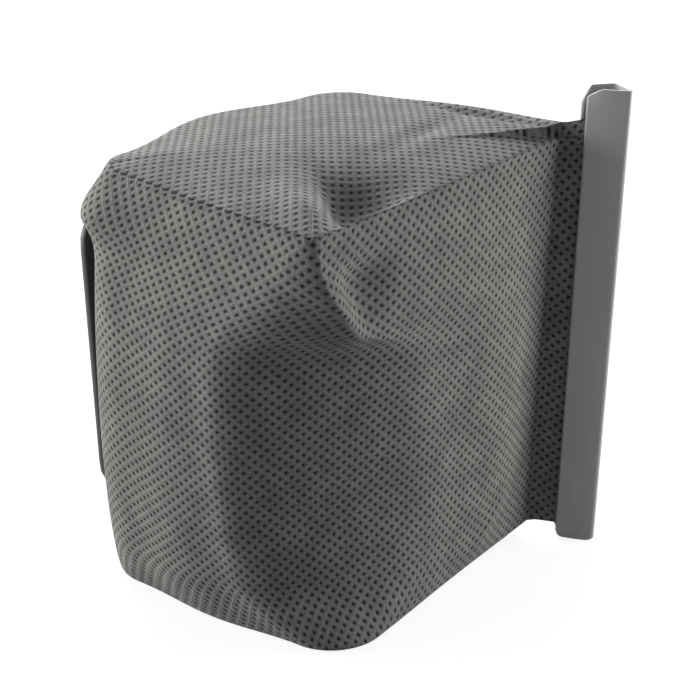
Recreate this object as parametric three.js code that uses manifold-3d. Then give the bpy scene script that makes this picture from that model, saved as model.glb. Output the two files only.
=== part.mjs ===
import * as THREE from 'three';
import { mergeVertices } from 'three/addons/utils/BufferGeometryUtils.js';
import Module from 'manifold-3d';

// Reusable dust bag of a small vacuum cleaner, filled out and standing on its base.
// +X runs from the sewn end to the clamped end, +Y from the front to the collar side, +Z up.
// All lengths are in millimetres and all angles in degrees.

// Fabric of the bag, its height at the front corner, and the stiff hem of its open end
const fabricThickness = 0.8;
const bagHeight = 117.5;
const hemThickness = 0.6;

// Corners of the bag seen from above, at its top edge, at half height and at its base
const nearCorner = { top: [0, 0], middle: [0, -2], base: [9.3, 0], round: [3.8, 37, 13] };
const mouthCorner = { top: [89, 1], middle: [88.2, 2.2], base: [87.9, 3.4], round: [2.2, 2, 2] };
const backCorner = { top: [75.5, 65], middle: [81, 73], base: [78, 70], round: [14, 18, 13] };
const sewnCorner = { top: [-2, 71], middle: [-11, 76], base: [-6.8, 79], round: [8, 18, 12] };
const bagCorners = [nearCorner, mouthCorner, backCorner, sewnCorner];

// Outward bow of each side between its corners: front, mouth end, collar side, sewn end
const sideBow = [
  { top: 0, middle: 2.5, base: -0.3 },
  { top: 2, middle: 4, base: 1.5 },
  { top: 7, middle: 4, base: 3 },
  { top: 0.5, middle: 2, base: 2 },
];

// How soon the sides swell out below the top edge: a smaller power swells sooner
const swellPower = 0.62;

// Lift of the top and base edges where they reach and where they leave each corner
const topLift = [[0, 0], [-0.6, 2.4], [0.6, 0.6], [-0.5, -0.5]];
const baseLift = [[0.8, 0.8], [3.4, 3.4], [0.8, 0.8], [0.8, 0.8]];

// Crown of the top panel, and how close to its edge the lift and the folds are felt
const topCrown = 3;
const liftFade = 4;
const foldFade = 8;

// Folds pressed into the top panel: middle, direction, half length, half widths to the left
// and the right of that direction, and depth
const topFolds = [
  { at: [18, 7], turn: 62, length: 15, widths: [4, 13], depth: 7 },
  { at: [9, 12], turn: 62, length: 12, widths: [5, 3], depth: -1.2 },
  { at: [84, 22], turn: 98, length: 24, widths: [2.4, 2.4], depth: 2.6 },
  { at: [66, 24], turn: 12, length: 18, widths: [3, 3], depth: 0.8 },
];

// Folds of the front and of the sewn end: middle as distance along the side and height
const frontFolds = [
  { at: [14, 101], turn: -52, length: 12, widths: [5, 5], depth: 1.8 },
  { at: [6.5, 100], turn: -56, length: 15, widths: [2.8, 2.8], depth: -1.6 },
  { at: [0, 102], turn: -66, length: 13, widths: [4, 4], depth: 1.8 },
  { at: [24, 85], turn: -10, length: 12, widths: [3.5, 3.5], depth: -1.2 },
  { at: [64, 10], turn: 52, length: 14, widths: [3, 3], depth: -1.2 },
];
const sewnEndFolds = [
  { at: [60, 80], turn: 78, length: 30, widths: [4, 4], depth: -1.2 },
  { at: [44, 52], turn: 22, length: 14, widths: [6, 6], depth: 1.2 },
  { at: [74, 110], turn: 0, length: 22, widths: [8, 8], depth: -7.5 },
];

// Mesh density of the fabric
const sideSteps = 12;
const cornerSteps = 8;
const wallLevels = 17;
const capRings = 8;

// Hem of the open end, which runs out of the mouth corner into the rail, and its folded end
const hemTurn = -60.3;
const hemRise = 4;
const hemDrop = 0.6;
const hemBackRise = 4.1;
const hemInside = 2;
const foldedEndThickness = 2.2;
const foldedEndRange = [3.6, 7.6];

// Rail that slides over the hem: a teardrop channel with its slit towards the bag
const railLength = 130;
const railWidth = 11.2;
const railDepth = 6.2;
const railBackCorner = 6.2;
const railWall = 0.85;
const railReach = 7;
const railFrontBow = 0.35;
const railRounding = 1.1;
const railTopChamfer = [3.4, 2.1];
const railBaseChamfer = [1.8, 1.8];
const railFarRounding = 4;
const lipReach = 1.4;
const lipTopChamfer = [1.9, 4];
const lipBaseChamfer = [2.2, 3];
const slitClearance = 0.28;

// Collar plate on the back of the bag, with its intake hole and the rim round it
const collarSize = [76, 82];
const collarCentre = [38, 60];
const collarPlane = 79;
const collarThickness = 2.4;
const collarCornerRadius = 9;
const intakeDiameter = 40;
const rimHeight = 1.2;
const rimWidth = 2;

// Rubber seal in a recess of the plate, and the ring that holds the fabric from inside
const sealDiameter = 52;
const sealThickness = 0.8;
const sealIntakeDiameter = 34;
const backingDiameter = 56;
const backingThickness = 1.6;

// Gap between pieces that rest on each other, and the flat of the fabric under the collar
const seatGap = 0.3;
const flatMargin = 2;
const flatFade = 20;
const roundSegments = 48;

const wasm = await Module();
wasm.setup();

function toSolid(geometry) {
  const bare = geometry.clone();
  bare.deleteAttribute('normal');
  bare.deleteAttribute('uv');
  const merged = mergeVertices(bare, 1e-5);
  return new wasm.Manifold(new wasm.Mesh({
    numProp: 3,
    vertProperties: new Float32Array(merged.attributes.position.array),
    triVerts: new Uint32Array(merged.index.array),
  }));
}

function toGeometry(solid) {
  const mesh = solid.getMesh();
  const geometry = new THREE.BufferGeometry();
  geometry.setAttribute('position', new THREE.BufferAttribute(new Float32Array(mesh.vertProperties), 3));
  geometry.setIndex(new THREE.BufferAttribute(new Uint32Array(mesh.triVerts), 1));
  geometry.computeVertexNormals();
  return geometry;
}

// Blend of three values along the height: the middle one swells out soon after each edge
function alongHeight(base, middle, top, h) {
  const swell = Math.pow(Math.max(0, 4 * h * (1 - h)), swellPower);
  return base + (top - base) * h + (middle - (base + top) / 2) * swell;
}

function cornerAt(corner, h) {
  const { top, middle, base, round } = corner;
  const x = alongHeight(base[0], middle[0], top[0], h);
  const y = alongHeight(base[1], middle[1], top[1], h);
  return { point: new THREE.Vector2(x, y), round: alongHeight(round[2], round[1], round[0], h) };
}

// Arc that rounds one corner between the directions to its two neighbours
function cornerArc(point, round, previous, next) {
  const before = previous.clone().sub(point).normalize();
  const after = next.clone().sub(point).normalize();
  const half = Math.acos(before.dot(after)) / 2;
  const centre = before.clone().add(after).setLength(round / Math.sin(half)).add(point);
  const start = before.multiplyScalar(round / Math.tan(half)).add(point).sub(centre).angle();
  const sweep = Math.PI - 2 * half;
  return Array.from({ length: cornerSteps + 1 }, (_, k) => {
    const angle = start + sweep * (k / cornerSteps);
    return new THREE.Vector2(Math.cos(angle), Math.sin(angle)).multiplyScalar(round).add(centre);
  });
}

// Closed outline of the bag at one height, each point with its outward direction
function outlineAt(h) {
  const corners = bagCorners.map((corner) => cornerAt(corner, h));
  const arcs = corners.map(({ point, round }, i) => (
    cornerArc(point, round, corners[(i + 3) % 4].point, corners[(i + 1) % 4].point)
  ));
  const points = [];
  arcs.forEach((arc, i) => {
    points.push(...arc);
    const along = arcs[(i + 1) % 4][0].clone().sub(arc[cornerSteps]);
    const outward = new THREE.Vector2(along.y, -along.x).normalize();
    const { base, middle, top } = sideBow[i];
    const bow = alongHeight(base, middle, top, h);
    for (let k = 1; k < sideSteps; k += 1) {
      const t = k / sideSteps;
      const point = arc[cornerSteps].clone().addScaledVector(along, t);
      points.push(point.addScaledVector(outward, bow * Math.sin(Math.PI * t) ** 2));
    }
  });
  return points.map((point, i) => {
    const along = points[(i + 1) % points.length].clone().sub(points[(i + points.length - 1) % points.length]);
    return { point, outward: new THREE.Vector2(along.y, -along.x).normalize() };
  });
}

// Lift of an edge at one point of the outline, blended between the corners
function liftAt(lifts, index) {
  const perCorner = cornerSteps + sideSteps;
  const corner = Math.floor(index / perCorner);
  const step = index % perCorner;
  const [reaching, leaving] = lifts[corner];
  if (step <= cornerSteps) return THREE.MathUtils.lerp(reaching, leaving, step / cornerSteps);
  return THREE.MathUtils.lerp(leaving, lifts[(corner + 1) % 4][0], (step - cornerSteps) / sideSteps);
}

// Depth of a set of folds at a point of their face
function foldDepth(folds, a, b) {
  return folds.reduce((depth, fold) => {
    const turn = THREE.MathUtils.degToRad(fold.turn);
    const da = a - fold.at[0];
    const db = b - fold.at[1];
    const along = (da * Math.cos(turn) + db * Math.sin(turn)) / fold.length;
    const left = db * Math.cos(turn) - da * Math.sin(turn);
    const across = left / fold.widths[left > 0 ? 0 : 1];
    return depth + fold.depth * Math.exp(-along * along - across * across);
  }, 0);
}

// Wall point pressed flat where the collar holds the fabric
function pressedToCollar(point) {
  const reach = Math.hypot(point.x - collarCentre[0], point.z - collarCentre[1]);
  const flat = backingDiameter / 2 + flatMargin;
  if (point.y > collarPlane / 2) {
    const press = 1 - THREE.MathUtils.smoothstep(reach, flat, flat + flatFade);
    point.y = THREE.MathUtils.lerp(Math.min(point.y, collarPlane - seatGap), collarPlane - seatGap, press);
  }
  return point;
}

function wallRing(h) {
  return outlineAt(h).map(({ point, outward }, i) => {
    const low = liftAt(baseLift, i);
    const z = low + (bagHeight + liftAt(topLift, i) - low) * h;
    const front = foldDepth(frontFolds, point.x, z) * Math.max(0, -outward.y);
    const end = foldDepth(sewnEndFolds, point.y, z) * Math.max(0, -outward.x);
    const edge = Math.min(1, 10 * h, 10 * (1 - h));
    const moved = point.clone().addScaledVector(outward, -(front + end) * edge);
    return pressedToCollar(new THREE.Vector3(moved.x, moved.y, z));
  });
}

// Ring of a flat panel: the outline drawn in towards its middle, at the height given
function panelRing(outline, share, heightAt) {
  const middle = outline.reduce((sum, { point }) => sum.add(point), new THREE.Vector2());
  middle.divideScalar(outline.length);
  return outline.map(({ point }, i) => {
    const flat = middle.clone().lerp(point, share);
    return new THREE.Vector3(flat.x, flat.y, heightAt(flat, i));
  });
}

// Rings from the middle of the base, up the walls, to the middle of the top panel
function bagRings() {
  const rings = [];
  const baseEdge = outlineAt(0);
  const topEdge = outlineAt(1);
  for (let k = 1; k <= capRings; k += 1) {
    const share = k / capRings;
    rings.push(panelRing(baseEdge, share, (flat, i) => (k < capRings ? 0 : liftAt(baseLift, i))));
  }
  for (let k = 1; k < wallLevels; k += 1) {
    rings.push(wallRing(0.5 - 0.5 * Math.cos(Math.PI * (k / wallLevels))));
  }
  for (let k = capRings; k >= 1; k -= 1) {
    const share = k / capRings;
    rings.push(panelRing(topEdge, share, (flat, i) => {
      const crown = topCrown * (1 - share * share) + liftAt(topLift, i) * share ** liftFade;
      return bagHeight + crown - foldDepth(topFolds, flat.x, flat.y) * (1 - share ** foldFade);
    }));
  }
  return rings;
}

// Closed skin through the rings, with one point in the middle of the first and of the last
function skinThrough(rings) {
  const count = rings[0].length;
  const points = rings.flat();
  const index = [];
  for (let r = 0; r + 1 < rings.length; r += 1) {
    for (let i = 0; i < count; i += 1) {
      const a = r * count + i;
      const b = r * count + ((i + 1) % count);
      index.push(a, b, b + count, a, b + count, a + count);
    }
  }
  const middleOf = (ring) => ring.reduce((sum, p) => sum.add(p), new THREE.Vector3()).divideScalar(count);
  const last = (rings.length - 1) * count;
  const low = points.push(middleOf(rings[0])) - 1;
  const high = points.push(middleOf(rings[rings.length - 1])) - 1;
  for (let i = 0; i < count; i += 1) {
    const next = (i + 1) % count;
    index.push(low, next, i, high, last + i, last + next);
  }
  const skin = new THREE.BufferGeometry().setFromPoints(points);
  skin.setIndex(index);
  skin.computeVertexNormals();
  return skin;
}

function offsetInward(skin, distance) {
  const inner = skin.clone();
  const { position, normal } = inner.attributes;
  const point = new THREE.Vector3();
  const direction = new THREE.Vector3();
  for (let i = 0; i < position.count; i += 1) {
    point.fromBufferAttribute(position, i);
    direction.fromBufferAttribute(normal, i);
    point.addScaledVector(direction, -distance);
    position.setXYZ(i, point.x, point.y, point.z);
  }
  return inner;
}

// Closed outline with its corners rounded, from points that each carry a radius
function roundedShape(corners) {
  const shape = new THREE.Shape();
  corners.forEach(({ at, radius = 0 }, i) => {
    const point = new THREE.Vector2(...at);
    const towards = (other) => {
      const way = new THREE.Vector2(...other.at).sub(point);
      return point.clone().add(way.setLength(Math.min(radius, way.length() / 2)));
    };
    const start = towards(corners[(i + corners.length - 1) % corners.length]);
    const end = towards(corners[(i + 1) % corners.length]);
    if (i === 0) shape.moveTo(start.x, start.y);
    else shape.lineTo(start.x, start.y);
    if (radius > 0) shape.quadraticCurveTo(point.x, point.y, end.x, end.y);
  });
  shape.closePath();
  return shape;
}

function extruded(shape, depth, curveSegments = 4) {
  return new THREE.ExtrudeGeometry(shape, { depth, bevelEnabled: false, steps: 1, curveSegments });
}

// Plate drawn as seen from the front (x, z) and given a range of y
function plateAlongY(shape, from, to, curveSegments = 12) {
  return toSolid(extruded(shape, to - from, curveSegments).rotateX(Math.PI / 2).translate(0, to, 0));
}

function discAlongY(diameter, from, to) {
  const disc = new THREE.CylinderGeometry(diameter / 2, diameter / 2, to - from, roundSegments);
  return toSolid(disc.translate(collarCentre[0], (from + to) / 2, collarCentre[1]));
}

// The hem and the rail are drawn in (a, b): a runs out of the mouth corner, b to the back
function placeAtMouth(geometry) {
  const [x, y] = mouthCorner.middle;
  return geometry.rotateZ(THREE.MathUtils.degToRad(hemTurn)).translate(x, y, 0);
}

function makeHem() {
  const half = hemThickness / 2;
  const [from, to] = foldedEndRange.map((reach) => railReach + reach);
  const section = roundedShape([
    { at: [-hemInside, -half] },
    { at: [to, -half], radius: 0.7 },
    { at: [to, -half + foldedEndThickness], radius: 0.7 },
    { at: [from, -half + foldedEndThickness], radius: 0.7 },
    { at: [from, half] },
    { at: [-hemInside, half] },
  ]);
  const overlap = 1;
  const aboveFrontLayer = roundedShape([
    { at: [-hemInside - overlap, -half - overlap] },
    { at: [to + overlap, -half - overlap] },
    { at: [to + overlap, 0] },
    { at: [0, 0] },
    { at: [0, half + overlap] },
    { at: [-hemInside - overlap, half + overlap] },
  ]);
  const frontHeight = bagHeight - hemDrop;
  const backHeight = bagHeight + hemBackRise;
  const hem = extruded(section, backHeight - hemRise, 3).translate(0, 0, hemRise);
  const cut = extruded(aboveFrontLayer, backHeight - frontHeight + overlap).translate(0, 0, frontHeight);
  return toSolid(placeAtMouth(hem)).subtract(toSolid(placeAtMouth(cut)));
}

function makeBag() {
  const skin = skinThrough(bagRings());
  const shell = toSolid(skin).subtract(toSolid(offsetInward(skin, fabricThickness)));
  const intake = discAlongY(intakeDiameter, collarPlane / 2, collarPlane + collarThickness);
  return shell.add(makeHem()).subtract(intake);
}

// Line moved sideways by a distance, as a point on it and its direction
function movedLine(from, to, distance) {
  const way = new THREE.Vector2().subVectors(to, from).normalize();
  const side = new THREE.Vector2(-way.y, way.x);
  return { point: from.clone().addScaledVector(side, distance), way };
}

function crossing(first, second) {
  const between = second.point.clone().sub(first.point);
  const t = between.cross(second.way) / first.way.cross(second.way);
  return first.point.clone().addScaledVector(first.way, t);
}

// Channel of the rail: front wall, spine at the far end, back wall sloping to the slit
function makeRail() {
  const front = -(hemThickness / 2 + slitClearance + railWall);
  const outer = [[0, front], [railWidth, front], [railBackCorner, front + railDepth], [-lipReach, -front]]
    .map(([a, b]) => new THREE.Vector2(railReach + a, b));
  const walls = [0, 1, 2].map((i) => movedLine(outer[i], outer[i + 1], railWall));
  const mouth = movedLine(outer[0], outer[3], 0);
  const inner = [crossing(mouth, walls[0]), crossing(walls[0], walls[1]), crossing(walls[1], walls[2]),
    crossing(walls[2], mouth)];
  const corner = (point, radius) => ({ at: point.toArray(), radius });
  const bowed = outer[0].clone().lerp(outer[1], 0.5).add(new THREE.Vector2(0, -railFrontBow));
  const section = roundedShape([
    corner(outer[0], 0.2), corner(bowed, railWidth / 2), corner(outer[1], railRounding),
    corner(outer[2], railRounding), corner(outer[3], 0.2),
    corner(inner[3], 0.2), corner(inner[2], railRounding / 2), corner(inner[1], railRounding / 2),
    corner(inner[0], 0.2),
  ]);
  const far = railReach + railWidth;
  const lip = railReach - lipReach;
  const overlap = 1;
  const face = roundedShape([
    { at: [lip - overlap, 0] }, { at: [far, 0], radius: railFarRounding },
    { at: [far, railLength], radius: railRounding }, { at: [lip - overlap, railLength] },
  ]);
  const ends = extruded(face, 4 * railDepth, 6).rotateX(Math.PI / 2).translate(0, 2 * railDepth, 0);
  const channel = extruded(section, railLength + 2 * overlap, 6).translate(0, 0, -overlap);
  const inFront = [-railDepth, 0];
  const behind = [0, railDepth];
  return toSolid(placeAtMouth(channel)).intersect(toSolid(placeAtMouth(ends)))
    .subtract(chamferWedge([railReach, railLength], [1, -1], railTopChamfer, inFront))
    .subtract(chamferWedge([railReach, 0], [1, 1], railBaseChamfer, inFront))
    .subtract(chamferWedge([lip, railLength], [1, -1], lipTopChamfer, behind))
    .subtract(chamferWedge([lip, 0], [1, 1], lipBaseChamfer, behind));
}

// Wedge that takes a corner off a wall of the rail: corner and size in (a, z), range in b
function chamferWedge([a, z], [sideA, sideZ], [width, height], [from, to]) {
  const extend = 0.5;
  const at = (u, v) => ({ at: [a + sideA * width * u, z + sideZ * height * v] });
  const wedge = roundedShape([at(-extend, -extend), at(1 + extend, -extend), at(-extend, 1 + extend)]);
  return toSolid(placeAtMouth(extruded(wedge, to - from).rotateX(Math.PI / 2).translate(0, to, 0)));
}

// Plate with rounded corners, a rim round the hole outside and a recess for the seal inside
function makeCollarPlate() {
  const [halfWidth, halfHeight] = collarSize.map((size) => size / 2);
  const face = roundedShape([[-1, -1], [1, -1], [1, 1], [-1, 1]].map(([x, z]) => (
    { at: [collarCentre[0] + x * halfWidth, collarCentre[1] + z * halfHeight], radius: collarCornerRadius }
  )));
  const outside = collarPlane + collarThickness;
  const recess = collarPlane + sealThickness + seatGap;
  return plateAlongY(face, collarPlane, outside)
    .add(discAlongY(intakeDiameter + 2 * rimWidth, outside - 1, outside + rimHeight))
    .subtract(discAlongY(intakeDiameter, collarPlane - 1, outside + rimHeight + 1))
    .subtract(discAlongY(sealDiameter + 2 * seatGap, collarPlane - 1, recess));
}

function makeSeal() {
  return discAlongY(sealDiameter, collarPlane, collarPlane + sealThickness)
    .subtract(discAlongY(sealIntakeDiameter, collarPlane - 1, collarPlane + sealThickness + 1));
}

function makeBackingRing() {
  const face = collarPlane - seatGap - fabricThickness - seatGap;
  return discAlongY(backingDiameter, face - backingThickness, face)
    .subtract(discAlongY(intakeDiameter, face - backingThickness - 1, face + 1));
}

const materials = {
  fabric: new THREE.MeshStandardMaterial({ color: 0x6f716d, roughness: 0.95, metalness: 0 }),
  rail: new THREE.MeshStandardMaterial({ color: 0x949595, roughness: 0.5, metalness: 0 }),
  collar: new THREE.MeshStandardMaterial({ color: 0x151515, roughness: 0.55, metalness: 0 }),
  seal: new THREE.MeshStandardMaterial({ color: 0x222222, roughness: 0.85, metalness: 0 }),
};

const pieces = [
  ['bag_fabric', makeBag(), materials.fabric],
  ['clamp_rail', makeRail(), materials.rail],
  ['collar_plate', makeCollarPlate(), materials.collar],
  ['collar_seal', makeSeal(), materials.seal],
  ['collar_backing_ring', makeBackingRing(), materials.collar],
];

// The origin is on the surface that the bag stands on, under the middle of the whole object
const dustBag = new THREE.Group();
pieces.forEach(([name, solid, material]) => {
  const mesh = new THREE.Mesh(toGeometry(solid), material);
  mesh.name = name;
  dustBag.add(mesh);
});
const extent = new THREE.Box3().setFromObject(dustBag, true);
const middle = extent.getCenter(new THREE.Vector3());
dustBag.position.set(-middle.x, -middle.y, -extent.min.z);
dustBag.updateMatrixWorld(true);

export default dustBag;
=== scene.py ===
import math

import bpy
import numpy as np
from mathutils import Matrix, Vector


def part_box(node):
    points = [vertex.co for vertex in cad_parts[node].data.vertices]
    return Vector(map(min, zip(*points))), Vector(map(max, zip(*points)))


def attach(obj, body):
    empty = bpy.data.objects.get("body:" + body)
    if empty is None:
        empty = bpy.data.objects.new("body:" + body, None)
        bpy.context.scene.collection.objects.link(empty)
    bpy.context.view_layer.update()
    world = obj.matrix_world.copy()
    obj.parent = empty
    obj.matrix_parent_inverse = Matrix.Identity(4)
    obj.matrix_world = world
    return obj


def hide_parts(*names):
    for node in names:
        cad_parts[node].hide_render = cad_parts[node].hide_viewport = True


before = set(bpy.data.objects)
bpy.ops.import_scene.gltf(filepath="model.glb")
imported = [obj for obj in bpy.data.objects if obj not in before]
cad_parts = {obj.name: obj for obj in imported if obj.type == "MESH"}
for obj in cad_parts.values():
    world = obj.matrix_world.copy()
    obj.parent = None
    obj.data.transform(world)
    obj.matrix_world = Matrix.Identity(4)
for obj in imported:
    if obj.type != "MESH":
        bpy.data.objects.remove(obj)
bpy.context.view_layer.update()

# The bag is drawn in millimetres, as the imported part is: x runs from the sewn end to the
# rail, y from the front to the collar side and z up, from the near corner of the top.
MM = 0.001
COLLAR_CENTRE = (38.0, 60.0)
COLLAR_PLANE = 79.0
plate_low, plate_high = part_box("collar_plate")
ORIGIN = np.array([
    (plate_low[0] + plate_high[0]) / 2 / MM - COLLAR_CENTRE[0],
    plate_low[1] / MM - COLLAR_PLANE,
    0.0,
])

# Fabric: corners seen from above at the top edge, half height and base, and how round they
# are at each of these
BAG_HEIGHT = 117.5
FABRIC_THICKNESS = 0.5
CORNERS = {
    "near": {"top": (0, 0), "middle": (0, -2), "base": (9.3, 0)},
    "back": {"top": (75.5, 65), "middle": (81, 73), "base": (78, 70), "round": (14, 18, 13)},
    "sewn": {"top": (-2, 71), "middle": (-12.5, 77), "base": (-6.8, 79), "round": (8, 16, 12)},
}
# The near corner is cut off by a broad facet: share of the height, how far it reaches along
# the sewn end and along the front, and how full its two bends are
NEAR_FACET = [
    (0.00, 13, 13, 0.55, 0.55),
    (0.10, 30, 34, 0.40, 0.38),
    (0.30, 33, 45, 0.36, 0.28),
    (0.50, 33, 44, 0.36, 0.28),
    (0.70, 32, 37, 0.38, 0.32),
    (0.75, 29, 17, 0.42, 0.20),
    (0.82, 22, 11, 0.45, 0.20),
    (0.91, 12, 4, 0.50, 0.30),
    (1.00, 2.6, 2.6, 0.55, 0.55),
]
FACET_SOFTNESS = 0.03
FACET_SAMPLES = 9

# How far each side bows out at the top edge, half height and base
SIDE_BOW = {
    "front": (0.0, 2.5, -0.3),
    "mouth": (2.0, 4.0, 1.5),
    "collar": (7.0, 4.0, 3.0),
    "sewn": (0.5, 0.8, 2.0),
}
# How quickly the wall swells out from its top and base edges
SWELL_POWER = 0.62

# Height of the top and base edges at their corners above the bag's height and the floor
TOP_LIFT = {"near": 0.0, "crease": -0.6, "slack": 3.0, "back": 0.6, "sewn": -0.5}
BASE_LIFT = {"near": 0.8, "crease": 3.4, "slack": 3.4, "back": 0.8, "sewn": 0.8}
TOP_CROWN = 3.0

# Hem: where it leaves the bag, its direction, and how far its parts reach along it
HEM_ROOT = np.array([88.2, 2.2])
HEM_TURN = math.radians(-60.3)
HEM_ALONG = np.array([math.cos(HEM_TURN), math.sin(HEM_TURN)])
HEM_ACROSS = np.array([-math.sin(HEM_TURN), math.cos(HEM_TURN)])
HEM_THICKNESS = 0.6
HEM_CREASE = (1.45, 0.0, -1.2)
HEM_BASE = 4.0
HEM_TOP_FRONT = 116.9
HEM_TOP_BACK = 121.6
RAIL_REACH = 7.0
FOLDED_END = (RAIL_REACH + 3.6, RAIL_REACH + 7.6)
FOLDED_THICKNESS = 2.2
FOLDED_ROUNDING = 0.5
FOLDED_STEP = 0.4
HEM_START = 0.3

# Where the wall counts as hem, along and across it, and the share of the fabric's thickness
# that each of its two pressed layers keeps
HEM_ZONE = (-2.5, 4.0)
HEM_LAYER_SHARE = 0.4

# Folds: face, middle on the face, direction, half length, half widths to the left and the
# right of that direction, and depth
FOLDS = {
    "top": [
        ((18, 7), 62, 15, (4, 13), 7),
        ((9, 12), 62, 12, (5, 3), -1.2),
        ((84, 22), 98, 24, (2.4, 2.4), 2.6),
        ((66, 24), 12, 18, (3, 3), 0.8),
    ],
    "front": [
        ((15, 100), -62, 9, (8, 4), 4.2),
        ((8, 98), -55, 14, (2.5, 2.5), -1.0),
        ((64, 10), 52, 14, (3, 3), -1.2),
    ],
    "sewn": [
        ((60, 80), 78, 30, (8, 8), -0.6),
        ((74, 110), 0, 22, (8, 8), -7.5),
    ],
}

# How fast the wall's folds grow from its top and base edges, the share of the base that lies
# flat, and how close to its edge the top takes up the edge's own height and loses its folds
FOLD_FADE = 10
BASE_FLAT = 0.86
TOP_EDGE_POWER = 5
TOP_FOLD_POWER = 12

# Mesh density of the fabric
ARC_STEPS = {"near": 34, "back": 14, "sewn": 18}
SIDE_STEPS = {"front": 56, "mouth": 40, "collar": 52, "sewn": 46}
HEM_STEPS = 9
FOLDED_STEPS = 4
WALL_LEVELS = 92
TOP_RINGS = 34
BASE_RINGS = 12
LEVEL_CROWDING = 0.5

# Round hole for the intake and the flat of the fabric round it
INTAKE_RADIUS = 20.0
INTAKE_SNAP = 0.8
FLAT_RADIUS = 30.0
FLAT_FADE = 14.0
SEAT_GAP = 0.3

# Rail: a channel of one wall thickness, its slit towards the bag
RAIL_LENGTH = 130.0
RAIL_WIDTH = 11.2
RAIL_DEPTH = 6.2
RAIL_BACK_CORNER = 6.2
RAIL_WALL = 0.85
RAIL_BOW = 0.35
RAIL_ROUNDING = 1.3
RAIL_LIP = 1.4
SLIT_CLEARANCE = 0.28
TOP_CHAMFER = (3.4, 2.1)
LIP_CHAMFER = (1.9, 4.0)
BASE_ROUNDING = (2.0, 3.0)
LIP_BASE = 3.0
LIP_BASE_REACH = 1.6
RAIL_LEVELS = 27

# Rounded edge of the rail's ends: how far each step is set in, and its height
RAIL_EDGE = [(0.30, 0.0), (0.16, 0.06), (0.06, 0.16), (0.0, 0.32)]

# Collar plate with its rim, the seal in its recess, and the ring inside the bag
PLATE_SIZE = (
    (plate_high[0] - plate_low[0]) / MM,
    (plate_high[2] - plate_low[2]) / MM,
)
PLATE_RADIUS = 9.0
COLLAR_THICKNESS = 2.4
SEAL_THICKNESS = 0.8
SEAL_RADIUS = 26.0
SEAL_HOLE = 17.0
BACKING_RADIUS = 28.0
RING_TURNS = 128

# Sections of the collar's parts: rounding of their edges, the groove of the plate's face, and
# how far the rim reaches from the hole
PLATE_ROUNDING = (0.35, 0.8)
PLATE_BEVEL = 0.22
FACE_GROOVE = (3.0, 5.0)
FACE_GROOVE_DEPTH = 0.35
FACE_GROOVE_SLOPE = 0.4
RIM_TOP = (0.3, 1.7)
RIM_FOOT = (2.0, 2.1, 2.6)
EDGE_ROUNDING = 0.3
SEAL_ROUNDING = (0.1, 0.25)
BACKING_ROUNDING = (0.2, 0.4)

# Stitches of the seam between the top panel and the sewn end, and the groove they lie in
STITCH_PITCH = 2.9
STITCH_LENGTH = 2.3
STITCH_WIDTH = 0.5
STITCH_START = 1.0
STITCH_STEP = 0.5
STITCH_OFFSET = (0.15, -0.1)
STITCH_ARCH = 0.22
STITCH_JITTER = 0.03
STITCH_TIP = 0.12
STITCH_SIDES = 8
STITCH_RINGS = 7
STITCH_SEED = 7
SEAM_GROOVE = 0.7

# Groove between the hem's two layers: depth, and how near it lies to the front layer
HEM_GROOVE = 1.6
GROOVE_SHARE = 0.35

# Greys of the fabric: between the dots; along the raised lines, lighter there as a painted
# highlight where they catch the light; and in the dots, dark partly in their own right and
# partly as painted shade in their sunken pits
FABRIC_TONE = (0.187, 0.190, 0.178, 1)
FABRIC_LINE_HIGHLIGHT = (0.256, 0.260, 0.245, 1)
FABRIC_DOT_TONE_AND_SHADE = (0.028, 0.029, 0.026, 1)

# The embossed dots of the fabric repeat on a diamond lattice of this size
DOT_CELL = 2.92

# In shares of a lattice cell: the edges of the dots and of the raised lines, how ragged the
# dots are and how unevenly they lie
DOT_EDGE = (0.17, 0.29)
LINE_EDGE = (0.40, 0.5)
DOT_RAGGEDNESS = 0.09
LATTICE_WOBBLE = 0.16

# Relief in metres of the dots and the fibres, and the lines' height as a share of the dots'
DOT_DEPTH = 0.00022
FIBRE_DEPTH = 0.00007
LINE_RELIEF = 0.45

# Fabric on each side of the near corner that takes up the corner's own lack of fabric, and
# the number of points round the bag over which the lattice's rows are evened out
CORNER_EASE = 25.0
CLIMB_WINDOW = 41

# Camera: what it looks at in the bag's millimetres, its distance in metres, and its lens
# and sensor in millimetres
CAMERA_PITCH = math.radians(27.7)
CAMERA_HEADING = math.radians(46.8)
CAMERA_TARGET = (66.7, 51.7, 47.7)
CAMERA_DISTANCE = 0.430
CAMERA_LENS = 79.66
CAMERA_SENSOR = 36

# Lamps: metres to the camera's right, away from it and up, size and power. All of them point
# at one place, and the world fills in evenly from all round.
LAMPS = {
    "left_box": (-0.85, 0.06, 0.17, (0.6, 0.34), 9.6),
    "right_box": (0.40, 0.0, 0.112, (0.19, 0.16), 1.27),
    "back_box": (-0.15, 1.25, 0.70, (1.4, 0.45), 32.0),
}
LAMP_AIM = (0, 0, 0.06)
WORLD_FILL = 0.24

# Floor: its own glow, the part of it that shows the bag's shadow, and the plain grey that it
# is for the light that falls back on the bag
FLOOR_GLOW = 0.86
FLOOR_SHADE = 0.26
FLOOR_GREY = 0.22


def smoothstep(x, low, high):
    t = np.clip((x - low) / (high - low), 0.0, 1.0)
    return t * t * (3 - 2 * t)


def along_height(top, middle, base, h):
    swell = max(0.0, 4 * h * (1 - h)) ** SWELL_POWER
    return base + (top - base) * h + (middle - (base + top) / 2) * swell


def corner_at(name, h):
    top, middle, base = (np.array(CORNERS[name][part], float) for part in ("top", "middle", "base"))
    return along_height(top, middle, base, h)


def unit(vector):
    return vector / np.linalg.norm(vector)


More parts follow.
